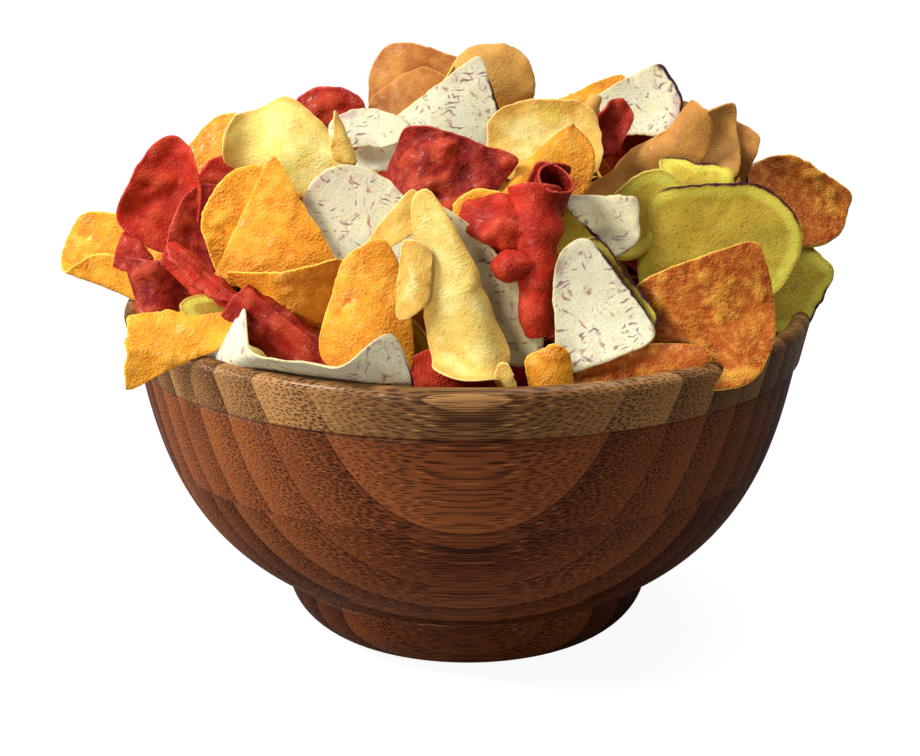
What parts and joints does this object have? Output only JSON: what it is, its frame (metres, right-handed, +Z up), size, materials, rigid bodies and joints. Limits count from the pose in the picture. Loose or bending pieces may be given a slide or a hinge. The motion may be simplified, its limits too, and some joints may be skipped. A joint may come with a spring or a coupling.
{
  "type": "bowl of root vegetable chips",
  "caption": "Turned bamboo salad bowl heaped with root-vegetable chips: a foot, a wall and a rim band, and one mound of curled slices that rises over the rim.",
  "frame": {"origin": "centre of the flat spot under the bowl's foot, which the bowl rests on", "axes": "+Z up along the bowl's axis, -Y towards the front of the heap, +X to the right of the front, along which the heap is longest"},
  "size_m": [0.2886, 0.25, 0.2199],
  "materials": {
    "foot_wood": "satin",
    "wall_wood": "satin",
    "rim_wood": "satin",
    "chips": "satin"
  },
  "bodies": {
    "root": {"bowl_foot": "foot_wood", "bowl_wall": "wall_wood", "bowl_rim": "rim_wood", "chip_heap": "chips"}
  },
  "joints": []
}
